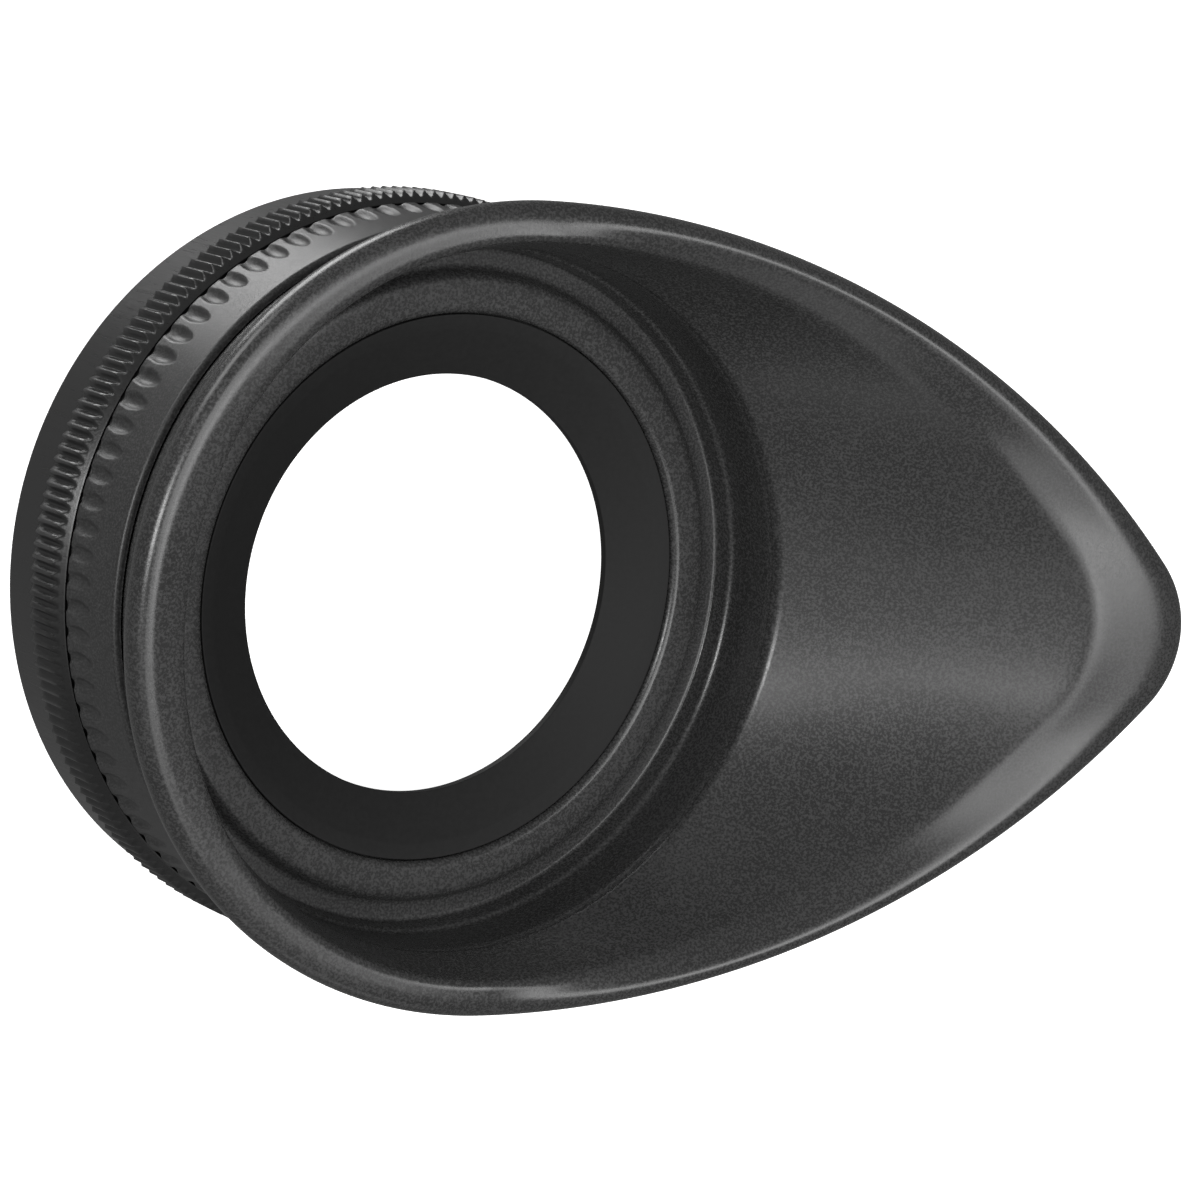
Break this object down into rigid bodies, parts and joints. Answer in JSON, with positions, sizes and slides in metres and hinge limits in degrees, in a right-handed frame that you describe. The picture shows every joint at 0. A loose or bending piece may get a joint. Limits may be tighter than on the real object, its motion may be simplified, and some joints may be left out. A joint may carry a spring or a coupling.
{
  "type": "winged telescope eyecup unit",
  "caption": "Twist-up eyecup unit for a large telescope eyepiece: knurled screw-on ring, scalloped grip and a soft winged rubber cup round a clear viewing hole.",
  "frame": {"origin": "centre of the rear opening, in the plane of the rear face", "axes": "+Z along the optical axis towards the eye, +X towards the tip of the wing"},
  "size_m": [0.0836, 0.0604, 0.039],
  "materials": {
    "black_anodised": "satin black anodised, machined",
    "barrel_metal": "black anodised, matt",
    "steel": "blackened steel",
    "spring_steel": "bright spring steel",
    "seal_rubber": "smooth black rubber",
    "bronze": "plain bronze",
    "brass": "machined brass",
    "grip_rubber": "moulded rubber, fine satin grain",
    "felt": "black felt",
    "matt_black": "smooth matt black",
    "slip_plastic": "white slip plastic",
    "stiff_plastic": "black moulded plastic",
    "eyecup_rubber": "soft rubber, fine grain"
  },
  "bodies": {
    "mount": {"mount_ring": "black_anodised", "guide_barrel": "barrel_metal", "barrel_lock_screws": "steel", "eyepiece_gasket": "seal_rubber", "thrust_washer": "bronze", "cam_retaining_ring": "spring_steel", "drag_oring": "seal_rubber"},
    "grip": {"cam_ring": "brass", "grip_ring": "barrel_metal", "grip_screws": "steel", "grip_sleeve": "grip_rubber", "dust_felt": "felt"},
    "carrier": {"eyecup_carrier": "barrel_metal", "follower_pins": "steel", "guide_rollers": "bronze", "cam_rollers": "bronze", "glare_stop": "matt_black", "slip_washer": "slip_plastic"},
    "eyecup": {"eyecup_ring": "stiff_plastic", "winged_eyecup": "eyecup_rubber"}
  },
  "joints": [
    {"name": "grip_twist", "type": "hinge", "parent": "mount", "child": "grip", "pos_m": [0, 0, 0.0115], "axis": [0, 0, 1], "range_deg": [0, 90]},
    {"name": "eyecup_lift", "type": "slide", "parent": "mount", "child": "carrier", "axis": [0, 0, 1], "range_m": [0, 0.0045]},
    {"name": "wing_turn", "type": "hinge", "parent": "carrier", "child": "eyecup", "pos_m": [0, 0, 0.014], "axis": [0, 0, 1], "continuous": true}
  ],
  "couplings": [
    {"joint": "grip_twist", "follows": "eyecup_lift", "rad_per_m": 349.06}
  ]
}
